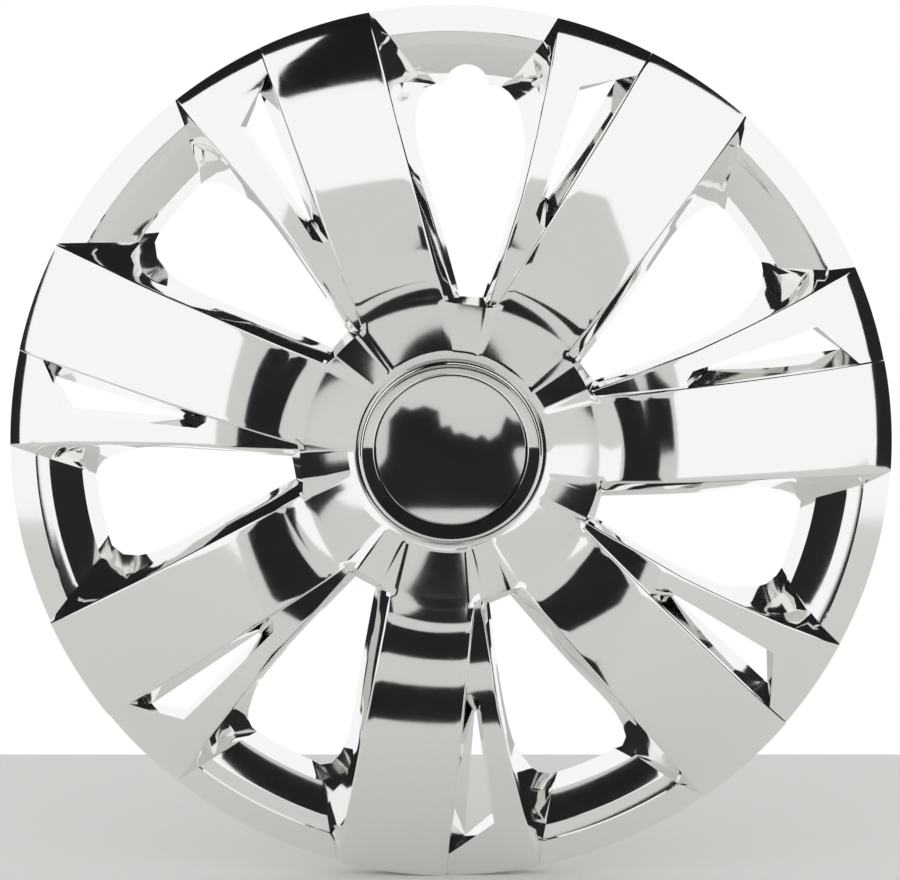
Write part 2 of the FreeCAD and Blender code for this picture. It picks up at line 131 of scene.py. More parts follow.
# Back of the slot: across, along; and the shares of the slot's depth at which its walls have rows
SLOT_BACK_RIGHT = ((37.0, 117.0), (64.5, 170.6))
SLOT_BACK_LEFT = ((36.2, 117.2), (48.9, 165.4))
SLOT_BACK_HEIGHT = -3.6
SLOT_WALL_SHARES = (0, 0.04, 0.35, 0.7, 1)

# Centre: radius and height from the hub ring in to the dome's rounded edge
CENTRE = ((44.0, -0.9), (43.5, -1.2), (43.05, -2.0), (42.6, -2.3), (42.2, -2.1), (41.6, -1.2), (41.0, -0.7),
          (40.4, -0.5), (39.9, -0.55), (39.4, -0.95), (39.0, -1.4), (35.6, -3.9), (35.2, -4.6), (35.0, -8.6),
          (34.9, -9.0), (34.6, -9.0), (34.6, -6.2), (34.5, -5.6), (34.3, -5.15))
DOME_EDGE = (34.0, -4.9)
DOME_TOP = -3.8

# Points nearer than about one cell become one vertex: cells in a millimetre, slack as a share of a cell
WELD_CELLS = 500
WELD_SLACK = 0.02
UPRIGHT = 1e-3
ROUNDING_LIMIT = 0.45
TINY = 1e-6

# Wall of the shell: evenness of the inset at corners, and its longest move in wall thicknesses
INSET_EASE = 0.02
INSET_LIMIT = 2.2


def smooth_curve(p0, m0, p1, m1, t):
    """Value or point at share t of a smooth curve between two ends with given slopes."""
    return (p0 * (1 + 2 * t) * (1 - t) ** 2 + m0 * t * (1 - t) ** 2
            + p1 * t * t * (3 - 2 * t) + m1 * t * t * (t - 1))


def level_height(table, radius):
    """Height on a smooth profile given as radius, height and slope."""
    for (r0, z0, s0), (r1, z1, s1) in zip(table, table[1:]):
        if radius <= r1:
            break
    span = r1 - r0
    return smooth_curve(z0, span * s0, z1, span * s1, (radius - r0) / span)


def cone(table, radius):
    """Height on a straight-sided cone."""
    (r0, z0), (r1, z1) = table
    return z0 + (z1 - z0) * (radius - r0) / (r1 - r0)


def cone_radii(table):
    """Radii of the rows on a cone, from its inner end out."""
    (r0, _), (r1, _) = table
    return [r0 + (r1 - r0) * k / HUB_ROWS for k in range(HUB_ROWS + 1)]


def station_radius(table, station):
    """Radius of a station."""
    for (i0, r0), (i1, r1) in zip(table, table[1:]):
        if station <= i1:
            break
    return r0 + (r1 - r0) * (station - i0) / (i1 - i0)


def on_circle(line, radius):
    """Plan point where a chain of straight lines crosses a circle about the axis."""
    for number, (a, b) in enumerate(zip(line, line[1:])):
        if radius <= hypot(*b) or number == len(line) - 2:
            break
    dx, dy = b[0] - a[0], b[1] - a[1]
    q = dx * dx + dy * dy
    p = (a[0] * dx + a[1] * dy) / q
    c = (a[0] ** 2 + a[1] ** 2 - radius ** 2) / q
    t = -p + max(p * p - c, 0.0) ** 0.5
    return (a[0] + t * dx, a[1] + t * dy)


def polar(radius, angle):
    """Plan point at a radius and at an angle clockwise from the sector's axis."""
    return (radius * sin(angle), radius * cos(angle))


def angle_of(point):
    """Angle of a plan point, clockwise from the sector's axis."""
    return atan2(point[0], point[1])


def turned(points, angle):
    """Points turned clockwise about the axis."""
    c, s = cos(angle), sin(angle)
    return [Vector((p[0] * c + p[1] * s, -p[0] * s + p[1] * c, p[2])) for p in points]


def between(a, b, count):
    """Points from a to b, both ends included."""
    return [a.lerp(b, k / count) for k in range(count + 1)]


def keyed(table, station, smooth_to=0):
    """Point of a table of stations; smooth up to one station and straight from there on."""
    keys = sorted(table)
    for n, (i0, i1) in enumerate(zip(keys, keys[1:])):
        if station <= i1:
            break
    span = i1 - i0
    t = (station - i0) / span
    p0, p1 = Vector(table[i0]), Vector(table[i1])
    if i1 > smooth_to:
        return p0.lerp(p1, t)
    before_at, before = i0 - span, p0 - (p1 - p0)
    if n:
        before_at, before = keys[n - 1], Vector(table[keys[n - 1]])
    after_at, after = i1 + span, p1 + (p1 - p0)
    if n + 2 < len(keys) and keys[n + 2] <= smooth_to:
        after_at, after = keys[n + 2], Vector(table[keys[n + 2]])
    m0 = (p1 - before) * span / (i1 - before_at)
    m1 = (after - p0) * span / (after_at - i0)
    return smooth_curve(p0, m0, p1, m1, t)


def rounded(before, corner, after, radius, count):
    """Points of a small rounding of a corner, in place of the corner itself."""
    def towards(point):
        reach = min(radius, ROUNDING_LIMIT * (corner - point).length)
        return corner + (point - corner).normalized() * reach if reach > TINY else corner.copy()

    start, end = towards(before), towards(after)
    shares = [k / count for k in range(count + 1)]
    return [start * (1 - t) ** 2 + corner * 2 * t * (1 - t) + end * t * t for t in shares]


class Skin:
    """Collects the quads of the shell's face, or of its plain twin that the back is made from."""

    def __init__(self, edge_round, count):
        self.edge_round = edge_round
        self.count = count
        self.points = []
        self.index = {}
        self.faces = []
        self.corner_of = {}

    def vertex(self, point):
        """Number of the vertex at a point; points that lie together share one."""
        sides = [{round(c * WELD_CELLS - WELD_SLACK), round(c * WELD_CELLS + WELD_SLACK)} for c in point]
        for key in product(*sides):
            if key in self.index:
                return self.index[key]
        key = tuple(round(c * WELD_CELLS) for c in point)
        self.index[key] = len(self.points)
        self.points.append(Vector(point))
        return self.index[key]

    def grid(self, rows):
        """Faces between rows of points, each turned to the front."""
        for a, b in zip(rows, rows[1:]):
            for k in range(len(a) - 1):
                self.face((a[k], a[k + 1], b[k + 1], b[k]))

    def face(self, corners):
        """One face turned to the front, or outwards where it stands upright."""
        numbers = []
        for corner in corners:
            number = self.vertex(corner)
            if number not in numbers:
                numbers.append(number)
        if len(numbers) < 3:
            return
        spots = [self.points[n] for n in numbers]
        normal = Vector()
        for a, b in zip(spots, spots[1:] + spots[:1]):
            normal += Vector(((a.y - b.y) * (a.z + b.z), (a.z - b.z) * (a.x + b.x), (a.x - b.x) * (a.y + b.y)))
        middle = sum(spots, Vector()) / len(spots)
        facing = normal.z
        if abs(normal.z) < UPRIGHT * normal.length:
            facing = normal.x * middle.x + normal.y * middle.y
        self.faces.append(numbers if facing > 0 else numbers[::-1])

    def section(self, chain, station):
        """One row: a chain of corners and plain points, the corners rounded, less so close to the hub."""
        reach = self.edge_round * min(1.0, station / ROUNDING_FULL)
        row = []
        for n, (point, is_corner) in enumerate(chain):
            if is_corner and self.count:
                curve = rounded(chain[n - 1][0], point, chain[n + 1][0], reach, self.count)
                for p in curve:
                    self.corner_of[tuple(p)] = point
                row += curve
            else:
                row.append(point)
        return row


def lifted(plan, face):
    """Space point over a plan point, on a level given by its radius."""
    return Vector((plan[0], plan[1], level_height(face, hypot(*plan))))


def arc_row(start, end, count, face):
    """Points on a level along the circle from one point to another."""
    radius = hypot(start[0], start[1])
    a0, a1 = angle_of(start), angle_of(end)
    return [lifted(polar(radius, a0 + (a1 - a0) * k / count), face) for k in range(count + 1)]


class Sector:
    """Lines of one sector, each as points at the stations."""

    def __init__(self, pitch):
        self.pitch = pitch
        stations = range(LAST + 1)
        radii = [station_radius(BLADE_STATIONS, i) for i in stations]
        self.edge = [lifted(on_circle(TRAILING_EDGE, r), BLADE_FACE) for r in radii]
        self.step_top = [lifted(on_circle(STEP_LINE, r), BLADE_FACE) for r in radii]
        self.step_foot = [lifted(polar(r, angle_of(top) - asin(STEP_DRAFT / r)), LOWER_FACE)
                          for r, top in zip(radii, self.step_top)]
        self.lead = self.leading_edge()
        self.left_foot = [keyed(LEFT_FOOT, i, CROSSING) for i in stations]
        self.right_foot = [keyed(RIGHT_FOOT, i, CROSSING) for i in stations]
        self.left_crease = self.creases(self.edge, self.left_foot, LEFT_CREASE)
        self.right_crease = self.creases(self.lead, self.right_foot, RIGHT_CREASE)
        self.slot_left = self.slot_edge()
        corner, end = self.slot_left[SLOT_END], self.step_foot[SLOT_END]
        self.slot_outer = [lifted(p.xy, LOWER_FACE) for p in between(corner, end, SLOT_OUTER_COLS)]
        self.hub_right = [on_circle((TAB_RIGHT[0], self.step_top[0][:2]), r) for r in cone_radii(HUB_CONE)]
        self.hub_left = [on_circle((TAB_LEFT[0], self.edge[0][:2]), r) for r in cone_radii(HUB_CONE)]

    @staticmethod
    def leading_edge():
        """Edge of the slotted blade, straight in plan from the slot's outer end to the rim."""
        def plan(station):
            return Vector(on_circle(LEADING_EDGE, station_radius(SLOT_STATIONS, station)))

        points = [plan(i) for i in range(SLOT_END)] + between(plan(SLOT_END), plan(LAST), LAST - SLOT_END)
        return [lifted(p, LOWER_FACE) for p in points]

    @staticmethod
    def creases(tops, feet, table):
        """Crease of a window wall: a share of the wall near the hub, then the table, then the foot itself."""
        def plain(station):
            top, foot = tops[station], feet[station]
            point = top.lerp(foot, WALL_SHARE)
            point.z = top.z + (foot.z - top.z) * WALL_DROP
            return point

        lead_in = Vector(table[CROSSING]) - plain(CROSSING)
        points = []
        for i in range(LAST + 1):
            if i >= JOIN:
                points.append(feet[i].copy())
            elif i > LIP_TOP:
                points.append(Vector(table[LIP_TOP]).lerp(feet[JOIN], (i - LIP_TOP) / (JOIN - LIP_TOP)))
            elif i >= CROSSING:
                points.append(keyed(table, i))
            else:
                ease = max(0.0, (i - CREASE_EASE_START) / (CROSSING - CREASE_EASE_START))
                points.append(plain(i) + lead_in * ease * ease)
        return points

    def slot_edge(self):
        """Left edge of the slot, carried on to the hub at an even share of the blade."""
        tip = angle_of(SLOT_LEFT[0])
        a0, a1 = angle_of(self.lead[SLOT_START]), angle_of(self.step_foot[SLOT_START])
        share = (tip - a0) / (a1 - a0)
        points = []
        for i in range(SLOT_END + 1):
            r = hypot(*self.lead[i].xy)
            if i < SLOT_START:
                b0, b1 = angle_of(self.lead[i]), angle_of(self.step_foot[i])
                plan = polar(r, b0 + (b1 - b0) * share)
            elif i == SLOT_START:
                plan = polar(r, tip)
            else:
                plan = on_circle(SLOT_LEFT, r)
            points.append(lifted(plan, LOWER_FACE))
        return points

    def slot_tail(self, station):
        """Row between the slot's left edge and the step, on the hub side of the slot."""
        return arc_row(self.slot_left[station], self.step_foot[station], SLOT_TIP_COLS, LOWER_FACE)


def lower_wall(skin, station, crease, foot):
    """Chain from a window wall's crease to its foot; from the join on they are one point."""
    if station >= JOIN:
        return [(foot, False)] * (3 + skin.count)
    return [(crease, True), (crease.lerp(foot, 0.5), False), (foot, False)]


def blade_rows(skin, sector):
    """Step wall, wide blade and the left wall of the next window."""
    edges, creases, feet = (turned(line, sector.pitch)
                            for line in (sector.edge, sector.left_crease, sector.left_foot))
    rows = []
    for i, (step, edge, crease, foot) in enumerate(zip(sector.step_foot, edges, creases, feet)):
        face = arc_row(sector.step_top[i], edge, BLADE_COLS, BLADE_FACE)
        chain = [(step, False), (step.lerp(face[0], 0.5), False), (face[0], True)]
        chain += [(p, False) for p in face[1:-1]]
        chain += [(edge, True), (edge.lerp(crease, 0.5), False)]
        rows.append(skin.section(chain + lower_wall(skin, i, crease, foot), i))
    return rows


def slotted_rows(skin, sector):
    """Right wall of the window and the slotted blade, as far as the slot and past its outer end."""
    low = arc_row(sector.lead[SLOT_END], sector.slot_left[SLOT_END], SLOTTED_COLS, LOWER_FACE)
    low += sector.slot_outer[1:]
    high = arc_row(sector.lead[LAST], sector.step_foot[LAST], SLOTTED_COLS + SLOT_OUTER_COLS, LOWER_FACE)
    rows = []
    for i, (foot, crease, top) in enumerate(zip(sector.right_foot, sector.right_crease, sector.lead)):
        if i <= SLOT_END:
            face = arc_row(top, sector.slot_left[i], SLOTTED_COLS, LOWER_FACE)
        else:
            share = (i - SLOT_END) / (LAST - SLOT_END)
            face = [lifted(a.lerp(b, share).xy, LOWER_FACE) for a, b in zip(low, high)]
            face[-1] = sector.step_foot[i]
        chain = lower_wall(skin, i, crease, foot)[::-1] + [(crease.lerp(top, 0.5), False), (top, True)]
        rows.append(skin.section(chain + [(p, False) for p in face[1:]], i))
    return rows


def slot_rows(sector):
    """Walls of the slot, from its outline in front to the one at the back."""
    left_in, left_out = (Vector((*p, SLOT_BACK_HEIGHT)) for p in SLOT_BACK_LEFT)
    right_in, right_out = (Vector((*p, SLOT_BACK_HEIGHT)) for p in SLOT_BACK_RIGHT)
    span = SLOT_END - SLOT_START
    front = sector.slot_left[SLOT_START:] + sector.slot_outer[1:]
    front += sector.step_foot[SLOT_START:SLOT_END][::-1] + sector.slot_tail(SLOT_START)[-2::-1]
    back = between(left_in, left_out, span) + between(left_out, right_out, SLOT_OUTER_COLS)[1:]
    back += between(right_out, right_in, span)[1:] + between(right_in, left_in, SLOT_TIP_COLS)[1:]
    return [[a.lerp(b, t) for a, b in zip(front, back)] for t in SLOT_WALL_SHARES]


def pocket_rows(sector):
    """Lip, pocket floor and rim band at the outer end of a window."""
    rows = []
    for a, b in zip(sector.left_foot[LIP_BOTTOM:], sector.right_foot[LIP_BOTTOM:]):
        ra, rb = hypot(*a.xy), hypot(*b.xy)
        ta, tb = angle_of(a), angle_of(b)
        row = [a]
        for t in (c / POCKET_COLS for c in range(1, POCKET_COLS)):
            row.append(Vector((*polar(ra + (rb - ra) * t, ta + (tb - ta) * t), a.z + (b.z - a.z) * t)))
        rows.append(row + [b])
    return rows


def cone_row(table, radius, start, end, count):
    """Points on a cone along the circle from the direction of one point to that of another."""
    a0, a1 = angle_of(start), angle_of(end)
    return [Vector((*polar(radius, a0 + (a1 - a0) * c / count), cone(table, radius))) for c in range(count + 1)]


def hub_rows(sector):
    """Hub cone from one tab to the next."""
    left_next = turned([Vector((*p, 0)) for p in sector.hub_left], sector.pitch)
    rows = [cone_row(HUB_CONE, r, right, left, BLADE_COLS)
            for r, right, left in zip(cone_radii(HUB_CONE), sector.hub_right, left_next)]
    inner, height = HUB_CONE[0]
    rows[0][0] = Vector((*on_circle(TAB_RIGHT, inner), height))
    rows[0][-1] = turned([Vector((*on_circle(TAB_LEFT, inner), height))], sector.pitch)[0]
    rows[-1][0] = sector.step_top[0]
    rows[-1][-1] = turned(sector.edge[:1], sector.pitch)[0]
    return rows


def tab_rows(sector):
    """Sunk tab at the hub end of a window, and the walls on its left and its right."""
    tab = [cone_row(TAB_CONE, r, on_circle(TAB_LEFT, r), on_circle(TAB_RIGHT, r), TAB_COLS)
           for r in cone_radii(TAB_CONE)]
    left, right = ([Vector((*p, cone(HUB_CONE, r))) for p, r in zip(line, cone_radii(HUB_CONE))]
                   for line in (sector.hub_left, sector.hub_right))
    left[0], right[0] = tab[0][0], tab[0][-1]
    left[-1], right[-1] = sector.edge[0], sector.step_top[0]
    return (tab, [[top, row[0]] for top, row in zip(left, tab)],
            [[row[-1], top] for top, row in zip(right, tab)])


def corner_fans(sector, blade, slotted, tail, tab):
    """Small facets where the walls and the blades meet at the hub: middle and outline of each fan."""
    wall = turned(blade, -sector.pitch)
    first = min(range(len(wall)), key=lambda n: (wall[n] - sector.edge[0]).length)
    return (tab[0], wall[first:]), (tab[-1], slotted + tail[1:] + blade[1:3])


def cover_face(skin, sector, sectors, rim_depth):
    """All the faces of the cover's front, from the dome out to the rim."""
    blade, slotted = blade_rows(skin, sector), slotted_rows(skin, sector)
    tail = [sector.slot_tail(i) for i in range(SLOT_START + 1)]
    past_slot = [slotted[SLOT_END] + sector.slot_outer[1:]] + slotted[SLOT_END + 1:]
    pocket, hub = pocket_rows(sector), hub_rows(sector)
    tab, tab_left, tab_right = tab_rows(sector)
    window_end = [tab[-1], between(sector.left_foot[0], sector.right_foot[0], TAB_COLS)]
    grids = (blade, slotted[:SLOT_END + 1], tail, past_slot, slot_rows(sector), pocket, hub,
             tab, tab_left, tab_right, window_end)
    fans = corner_fans(sector, blade[0], slotted[0], tail[0], tab[-1])
    turns = [sector.pitch * k for k in range(sectors)]
    for turn in turns:
        for rows in grids:
            skin.grid([turned(row, turn) for row in rows])
        for middle, outline in fans:
            for a, b in zip(outline, outline[1:]):
                skin.face(turned((middle, a, b), turn))
    rim_wall(skin, (blade[-1], slotted[-1], pocket[-1]), turns, rim_depth)
    centre_face(skin, tab[0], hub[0], turns)


def rim_wall(skin, outlines, turns, rim_depth):
    """Outer edge of the cover."""
    for turn, row in product(turns, outlines):
        feet = [skin.corner_of.get(tuple(p), p) for p in row]
        low = [Vector((p.x, p.y, -rim_depth)) for p in feet]
        skin.grid([turned(row, turn), turned(low, turn)])


def centre_face(skin, tab_inner, hub_inner, turns):
    """Groove, bead, well and dome, on the same spokes as the hub ring."""
    spokes = []
    for turn in turns:
        spokes += turned(tab_inner, turn)[:-1] + turned(hub_inner, turn)[:-1]
    angles = [angle_of(p) for p in spokes]
    rise = DOME_TOP - DOME_EDGE[1]
    ball = (DOME_EDGE[0] ** 2 + rise ** 2) / (2 * rise)
    profile = list(CENTRE) + [DOME_EDGE]
    for k in range(1, DOME_RINGS):
        r = DOME_EDGE[0] * (1 - k / DOME_RINGS)
        profile.append((r, DOME_TOP - ball + (ball * ball - r * r) ** 0.5))
    rings = [[Vector((*polar(r, a), z)) for a in angles] for r, z in profile]
    rings[0] = spokes
    skin.grid([ring + ring[:1] for ring in rings])
    last = rings[-1]
    top = Vector((0, 0, DOME_TOP))
    for a, b in zip(last, last[1:] + last[:1]):
        skin.face((top, a, b))


def add_face(mesh, corners):
    """Adds a face unless it has fallen together or is there already."""
    if len(set(corners)) == len(corners) and not mesh.faces.get(corners):
        mesh.faces.new(corners)


def inset(vert, wall):
    """Point behind a vertex, one wall in from all the faces that meet there."""
    normals = [f.normal for f in vert.link_faces if f.calc_area() > TINY]
    matrix = Matrix.Identity(3) * INSET_EASE
    aim = Vector()
    for n in normals:
        for r, c in product(range(3), repeat=2):
            matrix[r][c] += n[r] * n[c] / len(normals)
        aim -= n * (wall / len(normals))
    move = matrix.inverted() @ aim
    if move.length > INSET_LIMIT * wall:
        move *= INSET_LIMIT * wall / move.length
    return vert.co + move


def thick_back(skin, wall):
    """Points of the shell's inner face, one for each point of its plain outer face, and the open edges."""
    mesh = bmesh.new()
    verts = [mesh.verts.new(p) for p in skin.points]
    for numbers in skin.faces:
        add_face(mesh, [verts[n] for n in numbers])
    mesh.normal_update()
    mesh.verts.index_update()
    inner = [inset(vert, wall) for vert in verts]
    borders = [[v.index for v in e.verts] for e in mesh.edges if len(e.link_faces) == 1]
    mesh.free()
    return inner, borders


def placed(point, turn):
    """Point of the cover's own frame in the scene, in metres, with the front to -Y."""
    x, y, z = turned([point], turn)[0]
    return Vector((x * MM, -z * MM, y * MM))


def shell_mesh(sizes):
    """Mesh of the whole shell: face, back and the edges round its openings."""
    sector = Sector(2 * pi / sizes.sectors)
    depth = sizes.rim_depth / MM
    face = Skin(sizes.edge_round / MM, ROUND_STEPS)
    cover_face(face, sector, sizes.sectors, depth)
    plain = Skin(0.0, 0)
    cover_face(plain, sector, sizes.sectors, depth)
    inner, borders = thick_back(plain, sizes.wall / MM)
    mesh = bmesh.new()
    outer_verts, inner_verts = ([mesh.verts.new(placed(p, sizes.turn)) for p in points]
                                for points in (face.points, inner))
    for numbers in face.faces:
        add_face(mesh, [outer_verts[n] for n in numbers])
    for numbers in plain.faces:
        add_face(mesh, [inner_verts[n] for n in numbers[::-1]])
    for a, b in borders:
        front = [outer_verts[face.vertex(plain.points[n])] for n in (a, b)]
        add_face(mesh, front + [inner_verts[n] for n in (b, a)])
    return mesh


class Value:
    """A number carried by a socket of a node tree; arithmetic on it adds Math nodes."""

    def __init__(self, tree, socket):
        self.tree = tree
        self.socket = socket

    def math(self, operation, *others):
        node = self.tree.nodes.new("ShaderNodeMath")
        node.operation = operation
        for slot, item in zip(node.inputs, (self,) + others):
            if isinstance(item, Value):
                self.tree.links.new(item.socket, slot)
            else:
                slot.default_value = item
        return Value(self.tree, node.outputs[0])

    def __add__(self, other):
        return self.math("ADD", other)

    def __mul__(self, other):
        return self.math("MULTIPLY", other)


class Nodes:
    """A node tree that is written node by node."""

    def __init__(self, tree):
        self.tree = tree
        tree.nodes.clear()

    def add(self, kind, **sockets):
        """Node of a kind, with its sockets set or linked by name."""
        node = self.tree.nodes.new(kind)
        for name, value in sockets.items():
            socket = self.socket(node, name)
            if isinstance(value, Value):
                self.tree.links.new(value.socket, socket)
            elif isinstance(value, bpy.types.NodeSocket):
                self.tree.links.new(value, socket)
            else:
                socket.default_value = value
        return node

    @staticmethod
    def socket(node, name):
        plain = name.replace("_", " ").lower()
        return next(s for s in node.inputs if s.name.lower() == plain and s.enabled)

    def value(self, socket):
        return Value(self.tree, socket)

    def mix(self, share, first, second):
        """Output of a mix of two shaders."""
        node = self.tree.nodes.new("ShaderNodeMixShader")
        for slot, socket in zip(node.inputs, (share.socket, first, second)):
            self.tree.links.new(socket, slot)
        return node.outputs[0]


# Share of the haze that the fine marks add to the roughness
MARK_HAZE = 0.5


def chrome_plating(look):
    """Bright plating on moulded plastic: slightly warm, faintly wavy, with fine handling marks."""
    material = bpy.data.materials.new("chrome_plating")
    material.use_nodes = True
    nodes = Nodes(material.node_tree)
    place = nodes.add("ShaderNodeTexCoord").outputs["Object"]
    waves = nodes.add("ShaderNodeTexNoise", Vector=place, Scale=16.0, Detail=1.5, Roughness=0.4)
    haze = nodes.add("ShaderNodeTexNoise", Vector=place, Scale=55.0, Detail=6.0, Roughness=0.65)
    marks = nodes.add("ShaderNodeTexNoise", Vector=place, Scale=480.0, Detail=3.0, Roughness=0.7)
    haze_level = nodes.value(haze.outputs["Fac"])
    mark_level = nodes.value(marks.outputs["Fac"])
    roughness = haze_level * look.haze + mark_level * (look.haze * MARK_HAZE) + look.roughness
    height = nodes.value(waves.outputs["Fac"]) * look.waviness + mark_level * look.marks
    bump = nodes.add("ShaderNodeBump", Strength=1.0, Distance=1.0, Height=height)
    shader = nodes.add("ShaderNodeBsdfPrincipled", Base_Color=(*look.plating, 1.0), Metallic=1.0,
                       Roughness=roughness, Normal=bump.outputs["Normal"])
    nodes.add("ShaderNodeOutputMaterial", Surface=shader.outputs["BSDF"])
    return material


def plain_deselect():
    """Leaves edit mode and clears the selection."""
    if bpy.context.mode != "OBJECT":
        bpy.ops.object.mode_set(mode="OBJECT")
    bpy.ops.object.select_all(action="DESELECT")


def pick(item):
    """Makes one object the only selected and the active one."""
    plain_deselect()
    item.select_set(True)
    bpy.context.view_layer.objects.active = item


class CoverSizes(bpy.types.PropertyGroup):
    """Sizes of the cover that a user would change."""
    sectors: bpy.props.IntProperty(
        name="Blades", description="Number of wide blades", default=7)
    turn: bpy.props.FloatProperty(
        name="Turn", description="Clockwise turn of the first window from upright",
        default=radians(3.0), subtype="ANGLE")
    rim_depth: bpy.props.FloatProperty(
        name="Rim Depth", description="Depth of the outer edge behind the rim band", default=0.008, unit="LENGTH")
    wall: bpy.props.FloatProperty(
        name="Wall", description="Thickness of the moulded wall", default=0.0025, unit="LENGTH")
    edge_round: bpy.props.FloatProperty(
        name="Edge Rounding", description="Reach of the rounding on the blade edges", default=0.0009, unit="LENGTH")
    notch_radius: bpy.props.FloatProperty(
        name="Notch Radius", description="Radius of the valve notch", default=0.010, unit="LENGTH")
    notch_place: bpy.props.FloatProperty(
        name="Notch Place", description="Distance of the notch from the wheel axis", default=0.1642, unit="LENGTH")


class ChromeLook(bpy.types.PropertyGroup):
    """Finish of the plating."""
    plating: bpy.props.FloatVectorProperty(
        name="Plating", description="Colour of the plating", subtype="COLOR", default=(0.92, 0.915, 0.905))
    roughness: bpy.props.FloatProperty(
        name="Roughness", description="Least roughness of the plating", default=0.02)
    haze: bpy.props.FloatProperty(
        name="Haze", description="Roughness added in faint patches", default=0.05)
    waviness: bpy.props.FloatProperty(
        name="Waviness", description="Height of the slow waves in the moulded faces", default=0.00006, unit="LENGTH")
    marks: bpy.props.FloatProperty(
        name="Marks", description="Height of fine marks in the plating", default=0.000002, unit="LENGTH")


# Finish of the shell's mesh, in metres and degrees, and the cutter of its valve notch
MERGE_GAP = 0.000004
SLIVER = 0.000002
SHELL_SMOOTH = 22.0
NOTCH_TURN = 0.5
NOTCH_SIDES = 96
NOTCH_DEPTH = 0.12


class COVER_OT_shell(bpy.types.Operator):
    """Build the bladed shell with its windows, slots, pockets and dome"""
    bl_idname = "cover.shell"
    bl_label = "Build Shell"

    def execute(self, context):
        sizes = context.scene.cover_sizes
        mesh = shell_mesh(sizes)
        data = bpy.data.meshes.new("cover_shell")
        mesh.to_mesh(data)
        mesh.free()
        shell = bpy.data.objects.new("cover_shell", data)
        context.scene.collection.objects.link(shell)
        pick(shell)
        bpy.ops.object.mode_set(mode="EDIT")
        bpy.ops.mesh.select_all(action="SELECT")
        bpy.ops.mesh.remove_doubles(threshold=MERGE_GAP)
        bpy.ops.mesh.dissolve_degenerate(threshold=SLIVER)
        bpy.ops.object.mode_set(mode="OBJECT")
        self.cut_notch(shell, sizes)
        pick(shell)
        bpy.ops.object.shade_smooth_by_angle(angle=radians(SHELL_SMOOTH))
        shell.data.materials.append(chrome_plating(context.scene.cover_look))
        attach(shell, "root")
        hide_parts("wheel_cover")
        return {"FINISHED"}

    @staticmethod
    def cut_notch(shell, sizes):
        """Half-round room for the tyre valve in the lip of the top window."""
        plain_deselect()
        angle = sizes.turn - radians(NOTCH_TURN)
        spot = (sizes.notch_place * sin(angle), 0.0, sizes.notch_place * cos(angle))
        bpy.ops.mesh.primitive_cylinder_add(vertices=NOTCH_SIDES, radius=sizes.notch_radius, depth=NOTCH_DEPTH,
                                            location=spot, rotation=(pi / 2, 0.0, 0.0))
        cutter = bpy.context.object
        pick(shell)
        cut = shell.modifiers.new("notch", "BOOLEAN")
        cut.operation = "DIFFERENCE"
        cut.object = cutter
        cut.solver = "EXACT"
        bpy.ops.object.modifier_apply(modifier=cut.name)
        bpy.data.objects.remove(cutter)


# Side outline of a snap leg with the groove for its wire: radius, height
LEG_PROFILE = ((177.0, 7.0), (180.0, 7.0), (180.0, -29.4), (182.4, -31.0), (178.8, -38.0), (177.0, -38.0),
               (177.0, -29.75), (173.4, -28.65), (173.4, -27.55), (177.0, -27.55), (177.0, -24.45),
               (173.4, -24.45), (173.4, -23.35), (177.0, -22.25))
LEG_WIDTH = 16.0
LEG_ROUND = 0.4
LEG_TURN = 30.7
LEG_SMOOTH = 35.0


class COVER_OT_legs(bpy.types.Operator):
    """Build the snap legs behind the wide blades"""
    bl_idname = "cover.legs"
    bl_label = "Build Snap Legs"

    def execute(self, context):
        sizes = context.scene.cover_sizes
        plain_deselect()
        bpy.ops.mesh.primitive_circle_add(vertices=len(LEG_PROFILE), fill_type="NGON")
        leg = context.object
        leg.name = "snap_legs"
        for vert, (radius, height) in zip(leg.data.vertices, LEG_PROFILE):
            vert.co = Vector((-LEG_WIDTH / 2, radius, height))
        bpy.ops.object.mode_set(mode="EDIT")
        bpy.ops.mesh.select_all(action="SELECT")
        bpy.ops.mesh.extrude_region_move(TRANSFORM_OT_translate={"value": (LEG_WIDTH, 0.0, 0.0)})
        bpy.ops.mesh.select_all(action="SELECT")
        bpy.ops.mesh.normals_make_consistent(inside=False)
        bpy.ops.object.mode_set(mode="OBJECT")
        soften = leg.modifiers.new("soften", "BEVEL")
        soften.width = LEG_ROUND
        soften.segments = 2
        bpy.ops.object.modifier_apply(modifier=soften.name)
        legs = [leg]
        for _ in range(1, sizes.sectors):
            bpy.ops.object.duplicate(linked=False)
            legs.append(context.object)
        for number, item in enumerate(legs):
            turn = radians(LEG_TURN) + sizes.turn + 2 * pi * number / sizes.sectors
            for vert in item.data.vertices:
                vert.co = placed(vert.co, turn)
        plain_deselect()
        for item in legs:
            item.select_set(True)
        context.view_layer.objects.active = leg
        bpy.ops.object.join()
        bpy.ops.object.shade_smooth_by_angle(angle=radians(LEG_SMOOTH))
        leg.data.materials.append(bpy.data.materials["chrome_plating"])
        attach(leg, "root")
        return {"FINISHED"}


# Camera: place in metres, focal length and sensor in millimetres, shift in pixels of the picture's width
CAMERA_SPOT = (-0.0004, -1.1075, 0.1797)
CAMERA_LENS = 98.8
CAMERA_SENSOR = 36.0
CAMERA_SHIFT = (-0.84, 12.23)
PICTURE_WIDTH = 900

# Floor: centre and half sizes along x and y
FLOOR_CENTRE = (0.0, -0.35)
FLOOR_HALF = (0.9, 0.55)
FLOOR_COLOUR = (0.82, 0.81, 0.79, 1.0)

# Even light of the studio: grey and strength
STUDIO_GREY = (0.9, 0.9, 0.9, 1.0)
STUDIO_STRENGTH = 0.9
WHITE = (1.0, 1.0, 1.0, 1.0)

